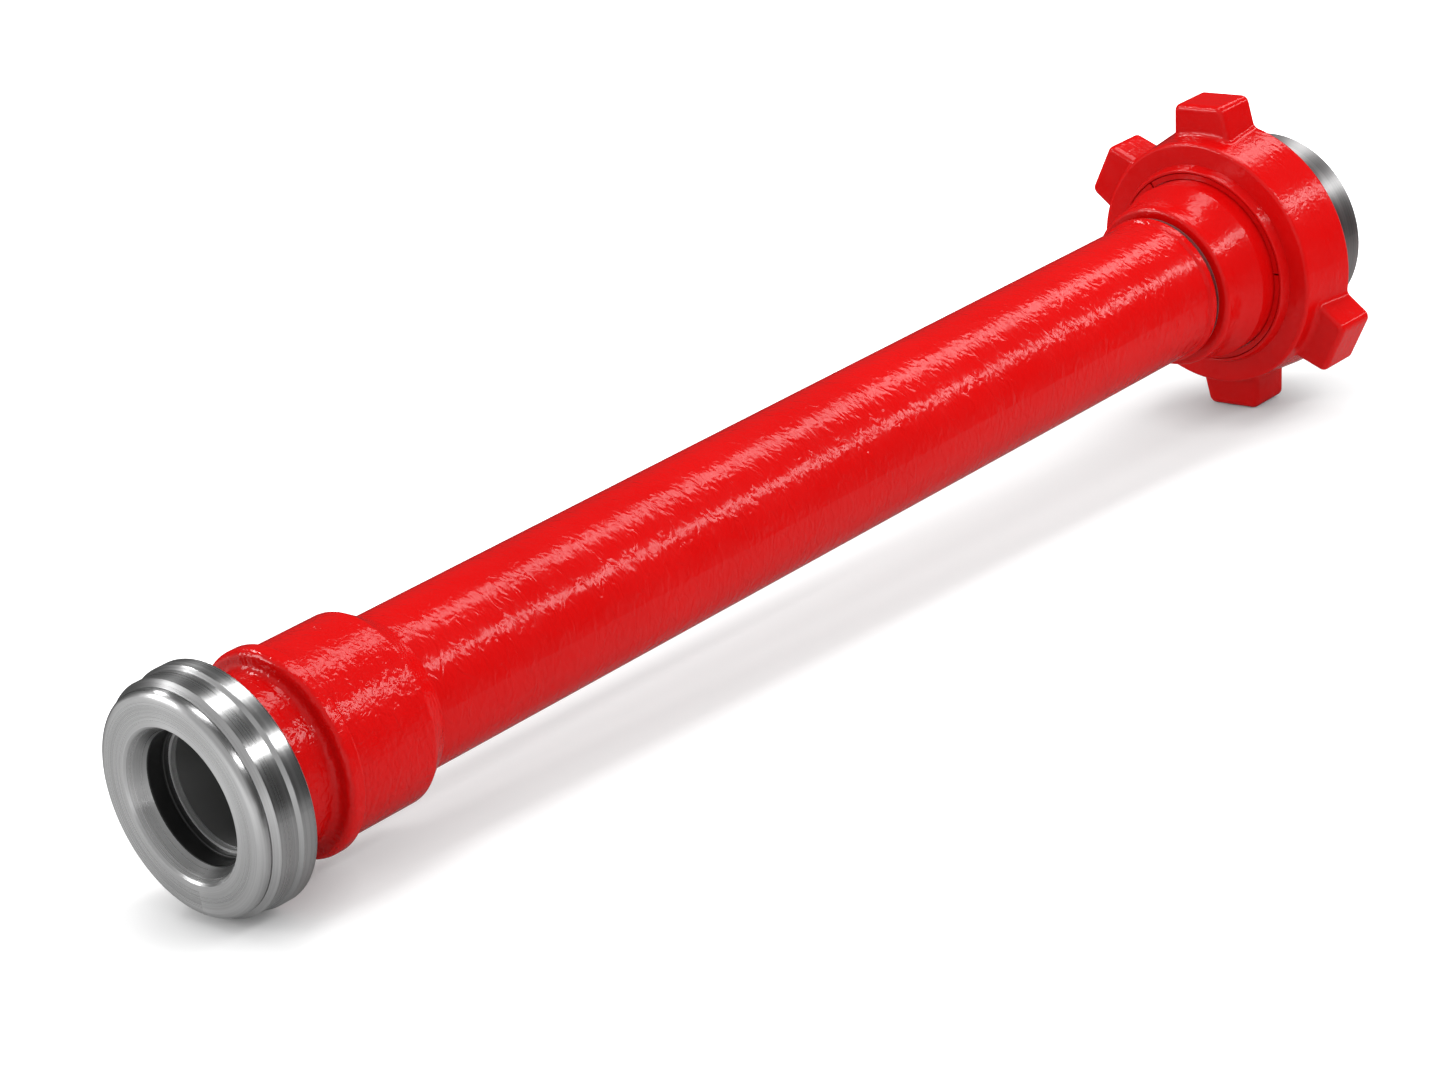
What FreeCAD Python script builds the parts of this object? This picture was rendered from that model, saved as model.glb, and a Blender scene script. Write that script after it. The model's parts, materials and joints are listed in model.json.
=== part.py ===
import FreeCAD, Part
import math
import os
import re

import Sketcher
from FreeCAD import Placement, Rotation, Vector

# High-pressure straight pipe for hammer unions, all lengths in millimetres and angles in degrees.
# Stations run along the pipe from the face of the female sub. The wing nut and what it holds
# have stations of their own, from the back face of the nut.
SIZES = {
    # Tube
    "pipe_length": 651.0,
    "pipe_radius": 44.45,
    "pipe_wall": 11.15,
    "spigot_step": 2.95,
    "spigot_length": 40.0,
    "spigot_play": 0.1,
    "spigot_end_gap": 0.5,
    "pipe_bead_height": 1.75,
    "pipe_bead_width": 4.5,
    "pipe_bead_slope": 2.0,
    "pipe_bead_round": 1.2,
    # Female sub, outside
    "female_length": 137.0,
    "face_step": 7.6,
    "face_round": 4.5,
    "lip_length": 5.3,
    "turned_groove_width": 0.9,
    "turned_groove_depth": 1.2,
    "shoulder_slope": 3.2,
    "shoulder_height": 3.0,
    "rim_start": 22.8,
    "rim_height": 1.7,
    "rim_width": 8.7,
    "rim_slope": 2.2,
    "rim_round": 0.9,
    "neck_step": 2.55,
    "neck_length": 30.5,
    "neck_fillet": 4.5,
    "bead_width": 10.0,
    "bead_front_round": 4.0,
    "bead_back_round": 1.6,
    "hub_wall": 12.6,
    "hub_round": 3.0,
    "bevel_length": 14.0,
    "bevel_end_step": 0.75,
    # Female sub, mouth and seal, as steps out from the bore
    "mouth_step": 8.5,
    "mouth_chamfer": 1.4,
    "seat_crease_step": 6.9,
    "seat_crease_depth": 4.0,
    "seat_step": 3.9,
    "seat_depth": 10.5,
    "seal_pocket_step": 10.2,
    "seal_play": 0.1,
    "seal_width": 12.6,
    "seal_front_step": 3.6,
    "seal_back_step": 2.3,
    "seal_back_width": 3.2,
    "seal_round": 0.8,
    "backup_width": 2.6,
    "backup_step": 0.7,
    # Male sub
    "joint_gap": 3.4,
    "collar_drop": 5.2,
    "collar_round": 3.0,
    "collar_width": 15.6,
    "taper_length": 13.0,
    "taper_fillet": 30.0,
    "barrel_step": 2.6,
    "barrel_round": 2.0,
    "barrel_length": 58.0,
    "head_step": 3.5,
    "head_length": 40.4,
    "head_back_chamfer": 1.8,
    "head_front_chamfer": 1.5,
    "nose_play": 0.6,
    "nose_length": 12.0,
    "nose_tip_wall": 2.7,
    "nose_round": 1.8,
    # Wing nut
    "nut_back_off": 1.6,
    "nut_length": 40.0,
    "nut_wall": 11.8,
    "nut_flare": 3.9,
    "nut_back_round": 2.5,
    "nut_front_round": 2.6,
    "boss_length": 5.5,
    "boss_base_wall": 0.7,
    "boss_top_wall": 2.0,
    "boss_round": 0.8,
    "thrust_depth": 5.0,
    "thread_depth": 2.4,
    "thread_lip_step": 0.2,
    "thread_lip_width": 2.0,
    "thread_bevel": 2.5,
    # Lugs
    "lug_height": 17.0,
    "lug_length": 29.0,
    "lug_tip_width": 37.0,
    "lug_root_width": 46.0,
    "lug_root_cover": 1.7,
    "lug_corner_round": 5.0,
    "lug_back_round": 3.6,
    "lug_base_fillet": 4.0,
    "lug_pair_angle": 58.0,
    # Nut segments and retainer ring
    "nut_play": 0.3,
    "segment_count": 3,
    "segment_gap_angle": 1.2,
    "segment_play": 0.4,
    "segment_stop": 0.6,
    "segment_hub_wall": 3.4,
    "segment_hub_reach": 5.0,
    "segment_flange_wall": 6.7,
    "segment_flange_width": 7.7,
    "retainer_width": 2.6,
    "retainer_wall": 3.9,
    "retainer_gap_angle": 9.0,
    "retainer_groove_depth": 2.0,
}

# Radii that follow from each other, from the tube outwards
BORE = "(pipe_radius - pipe_wall)"
SPIGOT = "(pipe_radius - spigot_step)"
SOCKET = f"({SPIGOT} + spigot_play)"
PIPE_BEAD = "(pipe_radius + pipe_bead_height)"
HUB = f"({SOCKET} + hub_wall)"
BEVEL_END = "(pipe_radius + bevel_end_step)"
BARREL = f"({HUB} + barrel_step)"
COLLAR = f"({BARREL} - collar_drop)"
HEAD = f"({BARREL} + head_step)"
SEGMENT_BORE = f"({BARREL} + segment_play)"
BEAD = f"({SEGMENT_BORE} + segment_stop)"

# Radii of the female sub's face, mouth and seal, and of the nose that such a mouth takes
FACE = f"({HUB} + face_step)"
RING = f"({FACE} + shoulder_height)"
RIM = f"({RING} + rim_height)"
NECK = "(pipe_radius + neck_step)"
MOUTH = f"({BORE} + mouth_step)"
SEAT_CREASE = f"({BORE} + seat_crease_step)"
SEAT = f"({BORE} + seat_step)"
SEAL_POCKET = f"({BORE} + seal_pocket_step)"
SEAL_FRONT = f"({BORE} + seal_front_step)"
SEAL_BACK = f"({BORE} + seal_back_step)"
NOSE = f"({MOUTH} - nose_play)"
NOSE_TIP = f"({BORE} + nose_tip_wall)"

# Radii of the nut and of what it holds
SEGMENT_HUB = f"({SEGMENT_BORE} + segment_hub_wall)"
SEGMENT_FLANGE = f"({SEGMENT_BORE} + segment_flange_wall)"
NUT_OPENING = f"({SEGMENT_HUB} + nut_play)"
NUT_POCKET = f"({SEGMENT_FLANGE} + nut_play)"
NUT_GROOVE = f"({NUT_POCKET} + retainer_groove_depth)"
BOSS_BASE = f"({NUT_POCKET} + boss_base_wall)"
BOSS_TOP = f"({NUT_OPENING} + boss_top_wall)"
THREAD_LIP = f"({NUT_POCKET} + thread_lip_step)"
THREAD = f"({THREAD_LIP} + thread_depth)"
NUT_BACK = f"({THREAD} + nut_wall)"
NUT_FRONT = f"({NUT_BACK} + nut_flare)"
LUG_ROOT = f"({THREAD} + lug_root_cover)"
LUG_TIP = f"({NUT_FRONT} + lug_height)"

# Stations from the female face
LIP_GROOVE_END = "(lip_length + turned_groove_width)"
RIM_END = "(rim_start + rim_width)"
NECK_END = f"({RIM_END} + neck_length)"
BEAD_END = f"({NECK_END} + bead_width)"
SEAL_POCKET_END = "(seat_depth + seal_width + backup_width + 3 * seal_play)"
SOCKET_START = "(female_length - spigot_length)"
PIPE_END = "(female_length + pipe_length)"
MALE_START = f"({PIPE_END} + joint_gap)"

# Stations from the collar face of the male sub
BARREL_START = "(collar_width + taper_length)"
HEAD_START = f"({BARREL_START} + barrel_length)"
HEAD_END = f"({HEAD_START} + head_length)"
SOCKET_DEPTH = "(spigot_length - joint_gap + spigot_end_gap)"
NUT_START = f"({HEAD_START} - nut_back_off - nut_length)"

# Stations from the back face of the nut
FLANGE_START = "(thrust_depth + nut_play)"
FLANGE_END = f"({FLANGE_START} + segment_flange_width)"
GROOVE_END = f"({FLANGE_END} + retainer_width + 2 * nut_play)"
THREAD_START = f"({GROOVE_END} + thread_lip_width)"

TOUCH = 0.01  # how near an edge lies to the place that it is looked up by

doc = FreeCAD.newDocument("straight_pipe")
sheet = doc.addObject("Spreadsheet::Sheet", "sizes")
for row, (name, size) in enumerate(SIZES.items(), start=1):
    sheet.set(f"A{row}", name)
    sheet.set(f"B{row}", str(size))
    sheet.setAlias(f"B{row}", name)
doc.recompute()


def bound(rule):
    """Turn a rule between named sizes into an expression on the sheet."""
    return re.sub(r"[a-z]\w*", lambda word: "sizes." + word.group(0), rule)


def value(rule):
    """Work out a rule between named sizes as a number."""
    return float(sheet.evalExpression(bound(rule)))


def new_body(name):
    body = doc.addObject("PartDesign::Body", name)
    body.Label = name
    return body


def new_sketch(body, name, plane):
    """Lay a sketch on one of the body's own origin planes."""
    support = next(item for item in body.Origin.OriginFeatures if item.Role == plane)
    sketch = body.newObject("Sketcher::SketchObject", name)
    sketch.AttachmentSupport = [(support, "")]
    sketch.MapMode = "FlatFace"
    return sketch


def draw_loop(sketch, corners):
    """Close a loop of straight lines through corners, each a pair of rules that places it."""
    places = [Vector(value(across), value(along), 0) for across, along in corners]
    for index, place in enumerate(places):
        following = places[(index + 1) % len(places)]
        sketch.addGeometry(Part.LineSegment(place, following), False)
    for index, (across, along) in enumerate(corners):
        following = (index + 1) % len(corners)
        sketch.addConstraint(Sketcher.Constraint("Coincident", index, 2, following, 1))
        for kind, rule in (("DistanceX", across), ("DistanceY", along)):
            number = sketch.addConstraint(Sketcher.Constraint(kind, -1, 1, index, 1, value(rule)))
            sketch.setExpression(f"Constraints[{number}]", bound(rule))


def turn(body, name, corners, sweep="360"):
    """Revolve a profile of (radius, station) corners about the pipe's axis."""
    sketch = new_sketch(body, f"{name}_profile", "XY_Plane")
    draw_loop(sketch, corners)
    revolution = body.newObject("PartDesign::Revolution", name)
    revolution.Profile = sketch
    revolution.ReferenceAxis = (sketch, ["V_Axis"])
    revolution.Angle = value(sweep)
    revolution.setExpression("Angle", bound(sweep))
    doc.recompute()
    return revolution


def ring_edges(shape, places):
    """Name the round edges about the axis that lie at the given (radius, station) places."""
    wanted = [(value(radius), value(station)) for radius, station in places]
    names = []
    for number, edge in enumerate(shape.Edges, start=1):
        if not isinstance(edge.Curve, Part.Circle):
            continue
        centre = edge.Curve.Center
        off_axis = math.hypot(centre.x, centre.z)
        for radius, station in wanted:
            if max(off_axis, abs(edge.Curve.Radius - radius), abs(centre.y - station)) < TOUCH:
                names.append(f"Edge{number}")
    return names


def dress(body, kind, name, edges, rule):
    """Add a fillet or a chamfer of a ruled size along the named edges of the body."""
    base = body.Tip
    feature = body.newObject(f"PartDesign::{kind}", name)
    feature.Base = (base, edges)
    size_property = "Radius" if kind == "Fillet" else "Size"
    setattr(feature, size_property, value(rule))
    feature.setExpression(size_property, bound(rule))
    doc.recompute()
    return feature


def round_rings(body, name, places, rule):
    return dress(body, "Fillet", name, ring_edges(body.Tip.Shape, places), rule)


def bevel_rings(body, name, places, rule):
    return dress(body, "Chamfer", name, ring_edges(body.Tip.Shape, places), rule)


def make_pipe():
    body = new_body("pipe")
    bead_start = f"{PIPE_END} - pipe_bead_width"
    turn(body, "pipe_turned", [
        (BORE, f"{SOCKET_START} + spigot_end_gap"),
        (SPIGOT, f"{SOCKET_START} + spigot_end_gap"),
        (SPIGOT, "female_length"),
        ("pipe_radius", "female_length"),
        ("pipe_radius", f"{bead_start} - pipe_bead_slope"),
        (PIPE_BEAD, bead_start),
        (PIPE_BEAD, PIPE_END),
        (SPIGOT, PIPE_END),
        (SPIGOT, f"{PIPE_END} + spigot_length"),
        (BORE, f"{PIPE_END} + spigot_length"),
    ])
    round_rings(body, "bead_rounding", [
        (PIPE_BEAD, bead_start),
        (PIPE_BEAD, PIPE_END),
    ], "pipe_bead_round")
    return body


def make_female_sub():
    body = new_body("female_sub")
    bevel_start = "female_length - bevel_length"
    turn(body, "female_turned", [
        (MOUTH, "0"),
        (FACE, "0"),
        (FACE, "lip_length"),
        (f"{FACE} - turned_groove_depth", "lip_length"),
        (f"{FACE} - turned_groove_depth", LIP_GROOVE_END),
        (FACE, LIP_GROOVE_END),
        (RING, f"{LIP_GROOVE_END} + shoulder_slope"),
        (RING, "rim_start - rim_slope"),
        (RIM, "rim_start"),
        (RIM, RIM_END),
        (NECK, RIM_END),
        (NECK, NECK_END),
        (BEAD, NECK_END),
        (BEAD, BEAD_END),
        (HUB, BEAD_END),
        (HUB, bevel_start),
        (BEVEL_END, "female_length"),
        (SOCKET, "female_length"),
        (SOCKET, SOCKET_START),
        (BORE, SOCKET_START),
        (BORE, SEAL_POCKET_END),
        (SEAL_POCKET, SEAL_POCKET_END),
        (SEAL_POCKET, "seat_depth"),
        (SEAT, "seat_depth"),
        (SEAT_CREASE, "seat_crease_depth"),
        (MOUTH, "mouth_chamfer"),
    ])
    bevel_rings(body, "mouth_bevel", [(MOUTH, "0")], "mouth_chamfer * 0.9")
    round_rings(body, "face_rounding", [(FACE, "0")], "face_round")
    round_rings(body, "rim_rounding", [
        (RIM, "rim_start"),
        (RIM, RIM_END),
    ], "rim_round")
    round_rings(body, "neck_filleting", [
        (NECK, RIM_END),
        (NECK, NECK_END),
    ], "neck_fillet")
    round_rings(body, "bead_front_rounding", [(BEAD, NECK_END)], "bead_front_round")
    round_rings(body, "bead_back_rounding", [(BEAD, BEAD_END)], "bead_back_round")
    round_rings(body, "hub_rounding", [(HUB, bevel_start)], "hub_round")
    return body


def make_seal_ring():
    body = new_body("seal_ring")
    front = "seat_depth + seal_play"
    back = f"{front} + seal_width"
    outer = f"{SEAL_POCKET} - seal_play"
    turn(body, "seal_moulded", [
        (SEAL_FRONT, front),
        (outer, front),
        (outer, back),
        (SEAL_BACK, back),
        (SEAL_BACK, f"{back} - seal_back_width"),
        (SEAL_FRONT, f"{back} - seal_back_width"),
    ])
    round_rings(body, "seal_rounding", [
        (SEAL_FRONT, front),
        (SEAL_BACK, f"{back} - seal_back_width"),
    ], "seal_round")
    return body


def make_anti_extrusion_ring():
    body = new_body("anti_extrusion_ring")
    front = "seat_depth + seal_width + 2 * seal_play"
    outer = f"{SEAL_POCKET} - seal_play"
    turn(body, "backup_turned", [
        (f"{BORE} + backup_step", front),
        (outer, front),
        (outer, f"{front} + backup_width"),
        (f"{BORE} + backup_step", f"{front} + backup_width"),
    ])
    return body


def make_male_sub():
    body = new_body("male_sub")
    turn(body, "male_turned", [
        (SOCKET, "0"),
        (COLLAR, "0"),
        (COLLAR, "collar_width"),
        (BARREL, BARREL_START),
        (BARREL, HEAD_START),
        (HEAD, HEAD_START),
        (HEAD, HEAD_END),
        (NOSE, HEAD_END),
        (NOSE_TIP, f"{HEAD_END} + nose_length"),
        (BORE, f"{HEAD_END} + nose_length"),
        (BORE, SOCKET_DEPTH),
        (SOCKET, SOCKET_DEPTH),
    ])
    round_rings(body, "collar_rounding", [(COLLAR, "0")], "collar_round")
    round_rings(body, "taper_filleting", [(COLLAR, "collar_width")], "taper_fillet")
    round_rings(body, "barrel_rounding", [(BARREL, BARREL_START)], "barrel_round")
    bevel_rings(body, "head_back_bevel", [(HEAD, HEAD_START)], "head_back_chamfer")
    bevel_rings(body, "head_front_bevel", [(HEAD, HEAD_END)], "head_front_chamfer")
    round_rings(body, "nose_rounding", [(NOSE_TIP, f"{HEAD_END} + nose_length")], "nose_round")
    return body


def add_lug(body, name, angle):
    """Pad one lug, a trapezoid that tapers to a flat tip, back from the front face of the nut."""
    turned = Rotation(Vector(0, 0, 1), value(angle))
    sketch = new_sketch(body, f"{name}_profile", "XZ_Plane")
    sketch.AttachmentOffset = Placement(Vector(0, 0, -value("nut_length")), turned)
    sketch.setExpression("AttachmentOffset.Base.z", "-" + bound("nut_length"))
    sketch.setExpression("AttachmentOffset.Rotation.Angle", bound(angle))
    draw_loop(sketch, [
        ("-lug_root_width / 2", LUG_ROOT),
        ("lug_root_width / 2", LUG_ROOT),
        ("lug_tip_width / 2", LUG_TIP),
        ("-lug_tip_width / 2", LUG_TIP),
    ])
    pad = body.newObject("PartDesign::Pad", name)
    pad.Profile = sketch
    pad.Length = value("lug_length")
    pad.setExpression("Length", bound("lug_length"))
    doc.recompute()
    return pad


def add_lug_pairs(body):
    """Two lugs stand a pair angle apart, and the same two again on the other side."""
    lugs = [add_lug(body, "upper_lug", "0"), add_lug(body, "side_lug", "lug_pair_angle")]
    pattern = body.newObject("PartDesign::PolarPattern", "lug_pairs")
    pattern.Originals = lugs
    pattern.Axis = (lugs[0].Profile[0], ["N_Axis"])
    pattern.Angle = 360
    pattern.Occurrences = 2
    body.Tip = pattern
    doc.recompute()
    return pattern


def named_edges(shape, test):
    return [f"Edge{number}" for number, edge in enumerate(shape.Edges, start=1) if test(edge)]


def middle_radius(edge):
    """How far from the axis the point halfway along an edge lies."""
    middle = edge.valueAt((edge.FirstParameter + edge.LastParameter) / 2)
    return math.hypot(middle.x, middle.z)


def lies_at(edge, station):
    """Whether the whole edge lies in the plane across the axis at a station."""
    return max(abs(edge.BoundBox.YMin - station), abs(edge.BoundBox.YMax - station)) < TOUCH


def round_lugs(body):
    """Round the lugs' corners and back edges, blend them into the nut, then round the front outline."""
    front = value("nut_length")
    lug_back = value("nut_length - lug_length")
    tip_corner = math.hypot(value(LUG_TIP), value("lug_tip_width / 2"))
    nut_edge = value(NUT_FRONT) + TOUCH
    thread_edge = value(f"{THREAD} + thread_bevel") + TOUCH

    def is_tip_corner(edge):
        return edge.BoundBox.YLength > TOUCH and abs(middle_radius(edge) - tip_corner) < TOUCH

    def is_lug_back(edge):
        return lies_at(edge, lug_back) and middle_radius(edge) > nut_edge

    def is_lug_base(edge):
        beside_lug = edge.BoundBox.YMin > lug_back - TOUCH and not lies_at(edge, front)
        return beside_lug and thread_edge < middle_radius(edge) < nut_edge

    def is_front_outline(edge):
        return lies_at(edge, front) and middle_radius(edge) > thread_edge

    for name, test, size in (
        ("lug_corner_rounding", is_tip_corner, "lug_corner_round"),
        ("lug_back_rounding", is_lug_back, "lug_back_round"),
        ("lug_base_filleting", is_lug_base, "lug_base_fillet"),
        ("front_rounding", is_front_outline, "nut_front_round"),
    ):
        dress(body, "Fillet", name, named_edges(body.Tip.Shape, test), size)


def make_wing_nut():
    body = new_body("wing_nut")
    turn(body, "nut_turned", [
        (NUT_OPENING, "-boss_length"),
        (BOSS_TOP, "-boss_length"),
        (BOSS_BASE, "0"),
        (NUT_BACK, "0"),
        (NUT_FRONT, "nut_length"),
        (f"{THREAD} + thread_bevel", "nut_length"),
        (THREAD, "nut_length - thread_bevel"),
        (THREAD, THREAD_START),
        (THREAD_LIP, THREAD_START),
        (THREAD_LIP, GROOVE_END),
        (NUT_GROOVE, GROOVE_END),
        (NUT_GROOVE, FLANGE_END),
        (NUT_POCKET, FLANGE_END),
        (NUT_POCKET, "thrust_depth"),
        (NUT_OPENING, "thrust_depth"),
    ])
    round_rings(body, "boss_rounding", [
        (BOSS_TOP, "-boss_length"),
        (NUT_OPENING, "-boss_length"),
    ], "boss_round")
    round_rings(body, "back_rounding", [(NUT_BACK, "0")], "nut_back_round")
    add_lug_pairs(body)
    round_lugs(body)
    return body


def make_nut_segment(number):
    """One of the arcs of L section that fill the gap between the nut and the barrel."""
    body = new_body(f"nut_segment_{number}")
    hub_back = "-segment_hub_reach"
    turn(body, f"segment_{number}_turned", [
        (SEGMENT_BORE, hub_back),
        (SEGMENT_HUB, hub_back),
        (SEGMENT_HUB, FLANGE_START),
        (SEGMENT_FLANGE, FLANGE_START),
        (SEGMENT_FLANGE, FLANGE_END),
        (SEGMENT_BORE, FLANGE_END),
    ], "360 / segment_count - segment_gap_angle")
    return body


def make_retainer_ring():
    """A split flat ring that springs into the groove in front of the segments."""
    body = new_body("retainer_ring")
    outer = f"({NUT_GROOVE} - nut_play)"
    back = f"({FLANGE_END} + nut_play)"
    turn(body, "retainer_turned", [
        (f"{outer} - retainer_wall", back),
        (outer, back),
        (outer, f"{back} + retainer_width"),
        (f"{outer} - retainer_wall", f"{back} + retainer_width"),
    ], "360 - retainer_gap_angle")
    return body


def rest_placement():
    """Lay the pipe on the rim of its female sub and on the flat tip of its lowest lug.

    Both touch the ground with a rounded edge, so the tilt is that of the line tangent to the two roundings.
    The ground's origin is below the middle of the whole length."""
    rim_angle = math.atan2(value("rim_height"), value("rim_slope"))
    rim_station = value("rim_start") + value("rim_round") * math.tan(rim_angle / 2)
    rim_centre = value(f"{RIM} - rim_round")
    rim_round = value("rim_round")
    lug_station = value(f"{MALE_START} + {NUT_START} + nut_length - lug_length + lug_back_round")
    lug_centre = value(f"{LUG_TIP} - lug_back_round")
    lug_round = value("lug_back_round")
    run = lug_station - rim_station
    rise = lug_centre - rim_centre
    tilt = math.atan2(rise, run) + math.asin((lug_round - rim_round) / math.hypot(run, rise))
    height = rim_centre * math.cos(tilt) + rim_round - rim_station * math.sin(tilt)

    near_end = (
        value("face_round") * (math.cos(tilt) - 1)
        - value(f"{FACE} - face_round") * math.sin(tilt)
    )
    far_end = (
        value(f"{MALE_START} + {HEAD_END} + nose_length - nose_round") * math.cos(tilt)
        + value(f"{NOSE_TIP} - nose_round") * math.sin(tilt)
        + value("nose_round")
    )
    return Placement(
        Vector(0, -(near_end + far_end) / 2, height),
        Rotation(Vector(1, 0, 0), math.degrees(tilt)),
    )


def along_pipe(station, turned=0):
    """The placement of a piece whose own stations start at a station of the pipe."""
    return Placement(Vector(0, value(station), 0), Rotation(Vector(0, 1, 0), turned))


def place_parts():
    """Make every piece and put it in its place on the resting pipe."""
    rest = rest_placement()
    nut_station = f"{MALE_START} + {NUT_START}"
    parts = []
    for make, station in (
        (make_pipe, "0"),
        (make_female_sub, "0"),
        (make_seal_ring, "0"),
        (make_anti_extrusion_ring, "0"),
        (make_male_sub, MALE_START),
        (make_wing_nut, nut_station),
        (make_retainer_ring, nut_station),
    ):
        body = make()
        body.Placement = rest * along_pipe(station)
        parts.append(body)
    count = round(value("segment_count"))
    for index in range(count):
        body = make_nut_segment(index + 1)
        body.Placement = rest * along_pipe(nut_station, index * 360 / count)
        parts.append(body)
    doc.recompute()
    return parts


def check(parts):
    """Stop if anything in the document failed or any piece isn't one whole solid."""
    for item in doc.Objects:
        if "Invalid" in item.State or "Error" in item.State:
            raise RuntimeError(f"{item.Name} failed: {item.State}")
    for part in parts:
        shape = part.Shape
        if shape.isNull() or not shape.isValid() or len(shape.Solids) != 1:
            raise RuntimeError(f"{part.Label} is not one valid solid")


parts = place_parts()
check(parts)
os.makedirs("parts", exist_ok=True)
for part in parts:
    part.Shape.exportStep(f"parts/{part.Label}.step")
    print(f"{part.Label}: {part.Shape.Volume / 1000:.1f} cubic centimetres")
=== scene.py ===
import json
import math
from collections import namedtuple

import bmesh
import bpy
from mathutils import Matrix, Vector


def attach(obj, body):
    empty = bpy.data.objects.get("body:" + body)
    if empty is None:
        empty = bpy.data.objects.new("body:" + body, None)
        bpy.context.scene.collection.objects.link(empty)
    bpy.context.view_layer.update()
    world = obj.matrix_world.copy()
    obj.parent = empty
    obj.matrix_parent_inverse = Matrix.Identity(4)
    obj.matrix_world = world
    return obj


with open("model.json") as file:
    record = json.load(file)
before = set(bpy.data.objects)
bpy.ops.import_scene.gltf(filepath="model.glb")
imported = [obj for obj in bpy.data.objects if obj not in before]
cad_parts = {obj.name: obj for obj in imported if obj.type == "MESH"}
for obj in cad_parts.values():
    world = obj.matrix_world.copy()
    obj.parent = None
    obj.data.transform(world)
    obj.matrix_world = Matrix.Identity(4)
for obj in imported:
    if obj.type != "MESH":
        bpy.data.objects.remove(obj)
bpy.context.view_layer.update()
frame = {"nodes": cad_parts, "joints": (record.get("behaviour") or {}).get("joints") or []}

# The pipe's own axis, and stations along it in metres from the face of the female sub
NUT_TURN = next(joint for joint in frame["joints"] if joint["name"] == "nut_turn")
NUT_BACK = 0.8364
NUT_LENGTH = 0.040
AXIS = Vector(NUT_TURN["axis"]).normalized()
FACE_CENTRE = Vector(NUT_TURN["pos_m"]) - AXIS * (NUT_BACK + NUT_LENGTH / 2)
SIDE = Vector((1, 0, 0))
UP = SIDE.cross(AXIS)

# Where the enamel ends: behind the near rim, in the mouths, at the far head and in the bore
RIM_BACK = 0.0315
MOUTH_RADIUS = 0.0445
HEAD_START = 0.8775
BORE_STEEL_RADIUS = 0.0340
EDGE_SOFTNESS = 0.0002

# Noises are written as scale, detail, roughness and distortion. These spans are what a noise
# gives in its middle part, and over nearly all of it.
NOISE_MIDDLE = (0.35, 0.65)
NOISE_WIDE = (0.3, 0.7)

# Enamel. Diffuse rays see a greyer red, so that the floor beside the pipe stays neutral.
DEEP_RED = (0.71, 0.0015, 0.0015, 1)
LIGHT_RED = (0.77, 0.002, 0.002, 1)
PAINT_ON_THE_FLOOR = (0.36, 0.22, 0.22, 1)
PAINT_GLOSS = 0.35
PAINT_ROUGHNESS = (0.14, 0.20)
PAINT_TONE_NOISE = (9.0, 3.0)
PAINT_SHEEN_NOISE = (60.0, 3.0)

# Ripples run round the pipe, drawn out by taking fewer metres to the radian than it has
RIPPLE_NOISE = (200.0, 1.0, 0.5, 1.2)
RIPPLE_METRES_PER_RADIAN = 0.020
RIPPLE_DEPTH = 0.0009
PATCH_NOISE = (28.0, 2.0)
PATCH_SPAN = (0.35, 0.60)
PATCH_STRENGTH = (0.6, 1.0)
SKIN_NOISE = (240.0, 1.0, 0.5, 0.8)
SKIN_DEPTH = 0.0006

# How strongly a painted part is rippled, and pitted with orange peel
RIPPLED_PAINT = (0.95, 0.12)
PITTED_PAINT = (0.80, 0.75)
SMOOTH_PAINT = (0.45, 0.40)

# Turned steel, and its roughness from the smoothest to the coarsest mark
BRIGHT_STEEL = (0.76, 0.76, 0.76, 1)
GREY_STEEL = (0.60, 0.60, 0.60, 1)
SPRING_STEEL = (0.30, 0.30, 0.31, 1)
RING_STEEL = (0.92, 0.92, 0.92, 1)
RING_METALLIC = 0.5
FINE_TURNED = (0.24, 0.34)
ROUGH_TURNED = (0.44, 0.54)

# Turning marks: close together along the part, long round it, with highlights drawn across them
MARKS_PER_METRE = 900.0
MARKS_PER_RADIAN = 0.35
FINE_MARKS = (1.0, 4.0, 0.65)
BROAD_MARKS = (0.12, 2.0)
DARKEST_MARK = 0.72
MARK_TONE_SPAN = (0.75, 1.25)
MARK_ROUGHNESS_SPAN = (0.7, 1.3)
MARK_BUMP_STRENGTH = 0.03
MARK_BUMP_DEPTH = 0.0003
STEEL_STRETCH = 0.80
ACROSS_THE_MARKS = 0.25

# The dull bore, darker partly from its duller steel and partly as painted shade inside it
BORE_COLOUR_AND_SHADE = (0.26, 0.26, 0.26, 1)
BORE_ROUGHNESS = 0.5
BORE_DULLING = 0.2

# Rubber of the seal
RUBBER_DARK = (0.012, 0.012, 0.012, 1)
RUBBER_PALE = (0.022, 0.022, 0.022, 1)
RUBBER_ROUGHNESS = (0.32, 0.48)
RUBBER_TONE_NOISE = (90.0, 3.0)
RUBBER_GRAIN_NOISE = (1500.0, 2.0)
RUBBER_BUMP_STRENGTH = 0.1
RUBBER_BUMP_DEPTH = 0.0002

# Thread in the mouth of the nut, from its back face, and its section as places along the pitch
# with their share of the height
THREAD_MAJOR = 0.0668
THREAD_MINOR = 0.0644
THREAD_PITCH = 0.00635
THREAD_START = 0.0190
THREAD_END = 0.0374
THREAD_SEGMENTS = 96
THREAD_SECTION = ((-0.42, 0.0), (-0.14, 1.0), (0.14, 1.0), (0.42, 0.0))
THREAD_ROOT_SINK = 0.0001
THREAD_FADES_PER_TURN = 3

# Camera, at the photograph's angle
CAMERA_PLACE = Vector((1.50436, -1.50378, 0.79884))
CAMERA_AZIMUTH = 46.442
CAMERA_ELEVATION = 19.405
CAMERA_ROLL = 7.990
LENS = 98.44
SENSOR = 36.0
CLIP_START = 0.05
CLIP_END = 50

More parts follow.
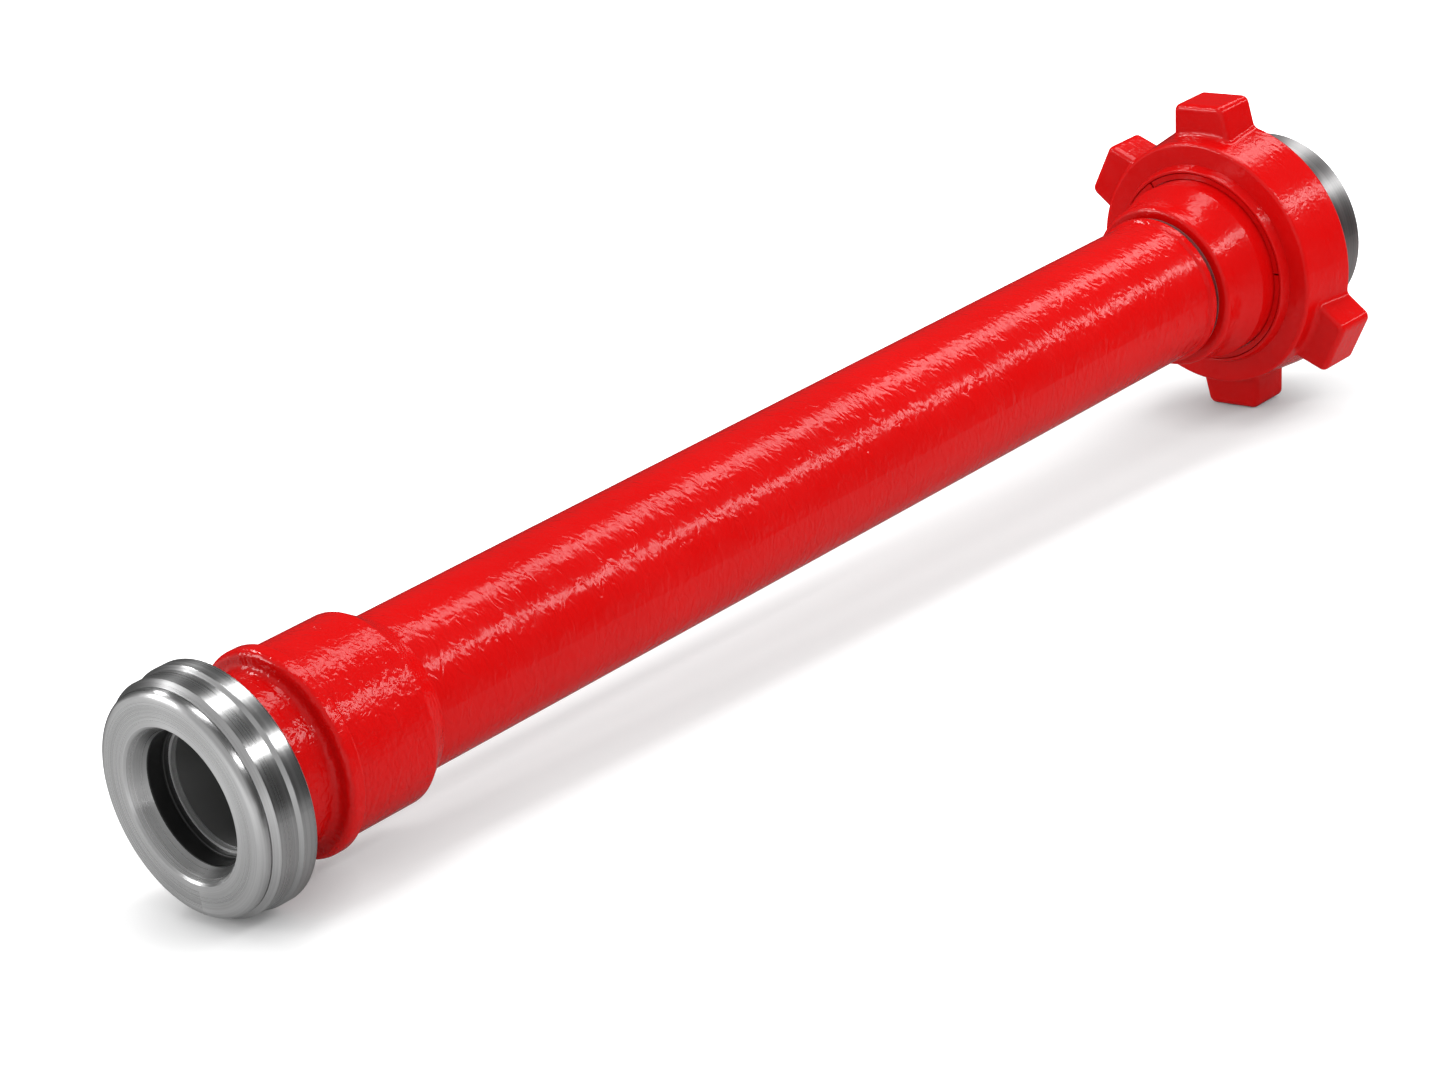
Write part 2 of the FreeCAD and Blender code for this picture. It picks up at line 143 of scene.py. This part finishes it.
# Softboxes: name, place, target, width, length and power
SOFTBOXES = (
    ("top_softbox", (-0.10, 1.3, 1.85), (-0.10, 1.3, 0.0), 0.50, 3.8, 21),
    ("front_softbox", (-1.6, -1.9, 0.85), (0, -0.45, 0.07), 0.8, 0.8, 12),
    ("edge_softbox", (-1.40, -0.40, 1.45), (0, 0.3, 0.1), 0.34, 0.34, 6),
    ("side_softbox", (1.50, 1.3, 1.30), (0, 1.3, 0.06), 3.8, 0.26, 20),
)

# Strengths of the studio, where 1 is white: what lights the pipe, and what its gloss mirrors
WHITE = (1, 1, 1, 1)
SKY_HEIGHTS = (0.0, 0.9)
SKY = (0.47, 0.66)
MIRROR_SKY = (0.05, 0.09)
MIRROR_FRONT = (0.0, 0.46)
FRONT_SPAN = (0.05, 0.55)

# The floor's paper, and how light it is in mirrors, close beside the pipe and farther off: a painted
# reflection, lighter close beside the pipe and darker farther off
FLOOR_HALF = 6.0
PAPER = 0.82
PAINTED_REFLECTION_PAPER = (0.30, 0.04)
PAINTED_REFLECTION_REACH = (0.14, 0.36)

# The floor's own white for the camera, by distance from the pipe and from where it rests: weaker
# beside the pipe as painted shade, and gone at the rest points as a painted contact shadow
HALF_LENGTH = 0.42
GLOW = (0.24, 1.08)
GLOW_AND_PAINTED_SHADE_REACH = (0.0, 0.50)
RESTS_AT = ((0.0, -0.435, 0.0), (0.0, 0.390, 0.0))
PAINTED_CONTACT_SHADOW_REACH = (0.0, 0.06)

# The floor's own white for mirrors, in front of the near face: a painted reflection that only gloss
# shows
FRONT_PAINTED_REFLECTION = (0.60, 0.0)
FRONT_PAINTED_REFLECTION_REACH = (-0.70, -0.40)

# Sockets of the mix node by data type: first and second value, and result
MIX_SOCKETS = {"FLOAT": (2, 3, 0), "VECTOR": (4, 5, 1), "RGBA": (6, 7, 2)}

PipePlace = namedtuple("PipePlace", "offset station radius angle")


def socket(node, name, value):
    node.inputs[name].default_value = value


class Graph:
    """Short ways to build the nodes of a material or a world."""

    def __init__(self, owner, output):
        owner.use_nodes = True
        self.owner = owner
        self.tree = owner.node_tree
        self.tree.nodes.clear()
        self.output = self.add(output)

    def add(self, kind, **settings):
        node = self.tree.nodes.new(kind)
        for name, value in settings.items():
            setattr(node, name, value)
        return node

    def link(self, source, target):
        self.tree.links.new(source, target)

    def put(self, target, value):
        if isinstance(value, bpy.types.NodeSocket):
            self.link(value, target)
        else:
            target.default_value = value

    def maths(self, operation, first, second=0.0):
        node = self.add("ShaderNodeMath", operation=operation)
        self.put(node.inputs[0], first)
        self.put(node.inputs[1], second)
        return node.outputs[0]

    def vector_maths(self, operation, first, second=None):
        node = self.add("ShaderNodeVectorMath", operation=operation)
        self.put(node.inputs[0], first)
        if second is not None:
            self.put(node.inputs[1], second)
        return node.outputs["Value" if operation in ("DOT_PRODUCT", "LENGTH") else "Vector"]

    def noise(self, place, scale, detail, roughness=0.5, distortion=0.0):
        node = self.add("ShaderNodeTexNoise")
        self.put(node.inputs["Vector"], place)
        socket(node, "Scale", scale)
        socket(node, "Detail", detail)
        socket(node, "Roughness", roughness)
        socket(node, "Distortion", distortion)
        return node.outputs["Fac"]

    def ramp(self, value, span, result=(0.0, 1.0)):
        """The value's span stretched to the result's, and held at its ends."""
        node = self.add("ShaderNodeMapRange")
        self.put(node.inputs["Value"], value)
        for name, number in zip(("From Min", "From Max", "To Min", "To Max"), (*span, *result)):
            socket(node, name, number)
        return node.outputs["Result"]

    def mix(self, kind, fraction, first, second):
        node = self.add("ShaderNodeMix", data_type=kind)
        first_socket, second_socket, result = MIX_SOCKETS[kind]
        self.put(node.inputs[0], fraction)
        self.put(node.inputs[first_socket], first)
        self.put(node.inputs[second_socket], second)
        return node.outputs[result]

    def combine(self, x, y, z):
        node = self.add("ShaderNodeCombineXYZ")
        for index, value in enumerate((x, y, z)):
            self.put(node.inputs[index], value)
        return node.outputs[0]

    def bump(self, height, strength, depth, normal=None):
        node = self.add("ShaderNodeBump")
        self.put(node.inputs["Height"], height)
        socket(node, "Strength", strength)
        socket(node, "Distance", depth)
        if normal is not None:
            self.link(normal, node.inputs["Normal"])
        return node.outputs["Normal"]

    def past(self, value, edge):
        """1 where the value is past the edge, over a short soft step."""
        return self.ramp(value, (edge - EDGE_SOFTNESS, edge + EDGE_SOFTNESS))

    def before(self, value, edge):
        return self.maths("SUBTRACT", 1.0, self.past(value, edge))


def material_graph(name):
    return Graph(bpy.data.materials.new(name), "ShaderNodeOutputMaterial")


def pipe_place(graph):
    """Where a point lies: from the face's centre, along the axis, and round it from the top."""
    where = graph.add("ShaderNodeTexCoord").outputs["Object"]
    offset = graph.vector_maths("SUBTRACT", where, tuple(FACE_CENTRE))
    station = graph.vector_maths("DOT_PRODUCT", offset, tuple(AXIS))
    across = graph.vector_maths("DOT_PRODUCT", offset, tuple(SIDE))
    above = graph.vector_maths("DOT_PRODUCT", offset, tuple(UP))
    squares = graph.maths("ADD", graph.maths("MULTIPLY", across, across),
                          graph.maths("MULTIPLY", above, above))
    return PipePlace(offset, station, graph.maths("SQRT", squares),
                     graph.maths("ARCTAN2", across, above))


def paint_look(graph, at, texture):
    """Colour, roughness and normal of glossy red enamel."""
    tone = graph.ramp(graph.noise(at.offset, *PAINT_TONE_NOISE), NOISE_MIDDLE)
    red = graph.mix("RGBA", tone, DEEP_RED, LIGHT_RED)
    path = graph.add("ShaderNodeLightPath")
    colour = graph.mix("RGBA", path.outputs["Is Diffuse Ray"], red, PAINT_ON_THE_FLOOR)
    roughness = graph.ramp(graph.noise(at.offset, *PAINT_SHEEN_NOISE), NOISE_WIDE, PAINT_ROUGHNESS)
    round_it = graph.maths("MULTIPLY", at.angle, RIPPLE_METRES_PER_RADIAN)
    ripple = graph.noise(graph.combine(at.station, round_it, 0.0), *RIPPLE_NOISE)
    patches = graph.ramp(graph.noise(at.offset, *PATCH_NOISE), PATCH_SPAN, PATCH_STRENGTH)
    skin = graph.noise(at.offset, *SKIN_NOISE)
    ripple_strength, skin_strength = texture
    rippled = graph.bump(graph.maths("MULTIPLY", ripple, patches), ripple_strength, RIPPLE_DEPTH)
    return colour, roughness, graph.bump(skin, skin_strength, SKIN_DEPTH, rippled)


def in_bore(graph, at):
    return graph.before(at.radius, BORE_STEEL_RADIUS)


def steel_look(graph, at, base, polish):
    """Colour, roughness and normal of turned steel, duller in the bore and darker there, partly as
    painted shade.
    """
    rings = graph.combine(graph.maths("MULTIPLY", at.station, MARKS_PER_METRE),
                          graph.maths("MULTIPLY", at.radius, MARKS_PER_METRE),
                          graph.maths("MULTIPLY", at.angle, MARKS_PER_RADIAN))
    fine = graph.noise(rings, *FINE_MARKS)
    marks = graph.maths("ADD", fine, graph.noise(rings, *BROAD_MARKS))
    dark = tuple(DARKEST_MARK * channel for channel in base[:3]) + (1,)
    colour = graph.mix("RGBA", graph.ramp(marks, MARK_TONE_SPAN), dark, base)
    roughness = graph.ramp(marks, MARK_ROUGHNESS_SPAN, polish)
    bore = in_bore(graph, at)
    # The bore's darker colour is partly painted shade inside it
    return (graph.mix("RGBA", bore, colour, BORE_COLOUR_AND_SHADE),
            graph.mix("FLOAT", bore, roughness, BORE_ROUGHNESS),
            graph.bump(fine, MARK_BUMP_STRENGTH, MARK_BUMP_DEPTH))


def along_the_marks(graph, at):
    """The direction that the turning marks run in, round the axis."""
    cross = graph.vector_maths("CROSS_PRODUCT", tuple(AXIS), at.offset)
    return graph.vector_maths("NORMALIZE", cross)


def principled(graph, colour, roughness, normal, metallic, marks=None, stretch=0.0):
    shader = graph.add("ShaderNodeBsdfPrincipled")
    if marks is not None:
        graph.link(marks, shader.inputs["Tangent"])
        graph.put(shader.inputs["Anisotropic"], stretch)
        socket(shader, "Anisotropic Rotation", ACROSS_THE_MARKS)
    graph.put(shader.inputs["Base Color"], colour)
    graph.put(shader.inputs["Roughness"], roughness)
    graph.put(shader.inputs["Metallic"], metallic)
    graph.put(shader.inputs["Normal"], normal)
    graph.link(shader.outputs[0], graph.output.inputs["Surface"])
    return shader


def red_paint():
    graph = material_graph("red_enamel")
    shader = principled(graph, *paint_look(graph, pipe_place(graph), SMOOTH_PAINT), 0.0)
    socket(shader, "Specular IOR Level", PAINT_GLOSS)
    return graph.owner


def paint_and_steel(name, bare, texture, steel=BRIGHT_STEEL, polish=FINE_TURNED):
    """Enamel, with bare turned steel where the mask says so."""
    graph = material_graph(name)
    at = pipe_place(graph)
    mask = bare(graph, at)
    paint = paint_look(graph, at, texture)
    metal = steel_look(graph, at, steel, polish)
    colour, roughness, normal = (
        graph.mix(kind, mask, painted, turned)
        for kind, painted, turned in zip(("RGBA", "FLOAT", "VECTOR"), paint, metal)
    )
    dulling = graph.maths("MULTIPLY", in_bore(graph, at), BORE_DULLING)
    shader = principled(graph, colour, roughness, normal, graph.maths("SUBTRACT", mask, dulling),
                        along_the_marks(graph, at), graph.maths("MULTIPLY", mask, STEEL_STRETCH))
    socket(shader, "Specular IOR Level", PAINT_GLOSS)
    return graph.owner


def female_bare(graph, at):
    """Everything in front of the back edge of the rim, and the mouth and bore."""
    return graph.maths("MAXIMUM", graph.before(at.station, RIM_BACK),
                       graph.before(at.radius, MOUTH_RADIUS))


def male_bare(graph, at):
    """The head past the thrust shoulder, and the bore."""
    return graph.maths("MAXIMUM", graph.past(at.station, HEAD_START),
                       graph.before(at.radius, MOUTH_RADIUS))


def plain_steel(name, base, metallic=1.0):
    graph = material_graph(name)
    at = pipe_place(graph)
    principled(graph, *steel_look(graph, at, base, FINE_TURNED), metallic,
               along_the_marks(graph, at), STEEL_STRETCH)
    return graph.owner


def black_rubber():
    graph = material_graph("seal_rubber")
    at = pipe_place(graph)
    tone = graph.noise(at.offset, *RUBBER_TONE_NOISE)
    grain = graph.noise(at.offset, *RUBBER_GRAIN_NOISE)
    principled(graph, graph.mix("RGBA", tone, RUBBER_DARK, RUBBER_PALE),
               graph.ramp(tone, NOISE_WIDE, RUBBER_ROUGHNESS),
               graph.bump(grain, RUBBER_BUMP_STRENGTH, RUBBER_BUMP_DEPTH), 0.0)
    return graph.owner


def dress(node, material):
    materials = frame["nodes"][node].data.materials
    materials.clear()
    materials.append(material)


def point_on_pipe(station, radius, angle):
    """The point at a station, a radius and an angle from the top."""
    return FACE_CENTRE + AXIS * station + (SIDE * math.sin(angle) + UP * math.cos(angle)) * radius


def nut_thread(material):
    """The ridge of the nut's thread, one helix with a flat crest that fades in and out."""
    mesh = bmesh.new()
    length = THREAD_END - THREAD_START
    turns = length / THREAD_PITCH
    steps = round(turns * THREAD_SEGMENTS)
    root = THREAD_MAJOR + THREAD_ROOT_SINK
    rows = []
    for index in range(steps + 1):
        share = index / steps
        middle = NUT_BACK + THREAD_START + length * share
        fade = min(1.0, min(share, 1 - share) * turns * THREAD_FADES_PER_TURN)
        depth = (THREAD_MAJOR - THREAD_MINOR) * fade
        angle = 2 * math.pi * turns * share
        rows.append([
            mesh.verts.new(point_on_pipe(middle + along * THREAD_PITCH, root - depth * height, angle))
            for along, height in THREAD_SECTION
        ])
    for row, following in zip(rows, rows[1:]):
        for index in range(len(row)):
            after = (index + 1) % len(row)
            mesh.faces.new((row[index], row[after], following[after], following[index]))
    mesh.faces.new(rows[0])
    mesh.faces.new(reversed(rows[-1]))
    bmesh.ops.recalc_face_normals(mesh, faces=mesh.faces)
    data = bpy.data.meshes.new("nut_thread_ridge")
    mesh.to_mesh(data)
    mesh.free()
    data.materials.append(material)
    piece = bpy.data.objects.new("nut_thread_ridge", data)
    bpy.context.scene.collection.objects.link(piece)
    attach(piece, "hammer_nut")


def make_camera():
    data = bpy.data.cameras.new("camera")
    data.lens = LENS
    data.sensor_width = SENSOR
    data.clip_start = CLIP_START
    data.clip_end = CLIP_END
    camera = bpy.data.objects.new("camera", data)
    bpy.context.scene.collection.objects.link(camera)
    azimuth = math.radians(CAMERA_AZIMUTH)
    elevation = math.radians(CAMERA_ELEVATION)
    ahead = Vector((-math.sin(azimuth) * math.cos(elevation),
                    math.cos(azimuth) * math.cos(elevation), -math.sin(elevation)))
    turn = ahead.to_track_quat("-Z", "Y").to_matrix().to_4x4()
    roll = Matrix.Rotation(math.radians(CAMERA_ROLL), 4, ahead)
    camera.matrix_world = Matrix.Translation(CAMERA_PLACE) @ roll @ turn
    bpy.context.scene.camera = camera


def make_softbox(name, place, target, width, length, power):
    data = bpy.data.lights.new(name, "AREA")
    data.shape = "RECTANGLE"
    data.size = width
    data.size_y = length
    data.energy = power
    lamp = bpy.data.objects.new(name, data)
    bpy.context.scene.collection.objects.link(lamp)
    aim = (Vector(target) - Vector(place)).to_track_quat("-Z", "Y").to_matrix().to_4x4()
    lamp.matrix_world = Matrix.Translation(place) @ aim


def floor_glow_shade_and_reflection(graph, path, place, x, y):
    """The floor's own light: white for the camera away from the pipe, weaker beside it as painted
    shade and gone at the rest points as a painted contact shadow, and a painted reflection for
    mirrors in front.
    """
    past_end = graph.maths("SUBTRACT", graph.maths("ABSOLUTE", y), HALF_LENGTH)
    flat = graph.combine(x, graph.maths("MAXIMUM", past_end, 0.0), 0.0)
    # Painted shade: the glow is weaker close beside the pipe
    away = graph.ramp(graph.vector_maths("LENGTH", flat), GLOW_AND_PAINTED_SHADE_REACH, GLOW)
    # Painted contact shadow: the glow fades to nothing where the pipe rests
    for rest in RESTS_AT:
        apart = graph.vector_maths("LENGTH", graph.vector_maths("SUBTRACT", place, rest))
        away = graph.maths("MULTIPLY", away, graph.ramp(apart, PAINTED_CONTACT_SHADOW_REACH))
    seen = graph.maths("MULTIPLY", path.outputs["Is Camera Ray"], away)
    # Painted reflection: glow that only mirrors see, in front of the near face
    front = graph.ramp(y, FRONT_PAINTED_REFLECTION_REACH, FRONT_PAINTED_REFLECTION)
    mirrored = graph.maths("MULTIPLY", path.outputs["Is Glossy Ray"], front)
    return graph.maths("ADD", seen, mirrored)


def floor_paper():
    graph = material_graph("floor_paper")
    path = graph.add("ShaderNodeLightPath")
    place = graph.add("ShaderNodeTexCoord").outputs["Object"]
    split = graph.add("ShaderNodeSeparateXYZ")
    graph.link(place, split.inputs[0])
    x, y = split.outputs["X"], split.outputs["Y"]
    # Painted reflection: mirrors see the paper lighter close beside the pipe and darker farther off
    mirrored = graph.ramp(graph.maths("ABSOLUTE", x), PAINTED_REFLECTION_REACH, PAINTED_REFLECTION_PAPER)
    tone = graph.mix("FLOAT", path.outputs["Is Glossy Ray"], PAPER, mirrored)
    paper = graph.add("ShaderNodeBsdfDiffuse")
    graph.link(graph.combine(tone, tone, tone), paper.inputs["Color"])
    glow = graph.add("ShaderNodeEmission")
    socket(glow, "Color", WHITE)
    graph.link(floor_glow_shade_and_reflection(graph, path, place, x, y), glow.inputs["Strength"])
    total = graph.add("ShaderNodeAddShader")
    graph.link(paper.outputs[0], total.inputs[0])
    graph.link(glow.outputs[0], total.inputs[1])
    graph.link(total.outputs[0], graph.output.inputs["Surface"])
    return graph.owner


def make_floor():
    """Pale paper that the camera sees as white away from the pipe and its shadow, with painted shade
    near the pipe and a painted reflection that gloss on the pipe shows.
    """
    data = bpy.data.meshes.new("floor")
    corners = [(x * FLOOR_HALF, y * FLOOR_HALF, 0) for x, y in ((-1, -1), (1, -1), (1, 1), (-1, 1))]
    data.from_pydata(corners, [], [(0, 1, 2, 3)])
    data.materials.append(floor_paper())
    floor = bpy.data.objects.new("floor", data)
    bpy.context.scene.collection.objects.link(floor)


def make_world():
    """White to the camera, and to the pipe a studio that is brighter overhead."""
    graph = Graph(bpy.data.worlds.new("studio"), "ShaderNodeOutputWorld")
    bpy.context.scene.world = graph.owner
    direction = graph.add("ShaderNodeTexCoord").outputs["Generated"]
    height = graph.vector_maths("DOT_PRODUCT", direction, (0, 0, 1))
    front = graph.vector_maths("DOT_PRODUCT", direction, (0, -1, 0))
    mirrored = graph.maths("MAXIMUM", graph.ramp(height, SKY_HEIGHTS, MIRROR_SKY),
                           graph.ramp(front, FRONT_SPAN, MIRROR_FRONT))
    path = graph.add("ShaderNodeLightPath")
    light = graph.mix("FLOAT", path.outputs["Is Glossy Ray"], graph.ramp(height, SKY_HEIGHTS, SKY),
                      mirrored)
    background = graph.add("ShaderNodeBackground")
    socket(background, "Color", WHITE)
    graph.link(graph.mix("FLOAT", path.outputs["Is Camera Ray"], light, 1.0),
               background.inputs["Strength"])
    graph.link(background.outputs[0], graph.output.inputs["Surface"])


def dress_parts():
    enamel = red_paint()
    dress("pipe", paint_and_steel("pipe_enamel", in_bore, RIPPLED_PAINT))
    dress("female_sub", paint_and_steel("female_sub_finish", female_bare, PITTED_PAINT))
    dress("male_sub", paint_and_steel("male_sub_finish", male_bare, SMOOTH_PAINT, GREY_STEEL,
                                      ROUGH_TURNED))
    dress("wing_nut", enamel)
    dress("seal_ring", black_rubber())
    dress("anti_extrusion_ring", plain_steel("ring_steel", RING_STEEL, RING_METALLIC))
    for number in (1, 2, 3):
        dress(f"nut_segment_{number}", enamel)
    dress("retainer_ring", plain_steel("spring_steel", SPRING_STEEL))
    nut_thread(enamel)


def make_studio():
    bpy.context.scene.view_settings.view_transform = "Standard"
    make_world()
    make_floor()
    for softbox in SOFTBOXES:
        make_softbox(*softbox)


dress_parts()
make_studio()
make_camera()
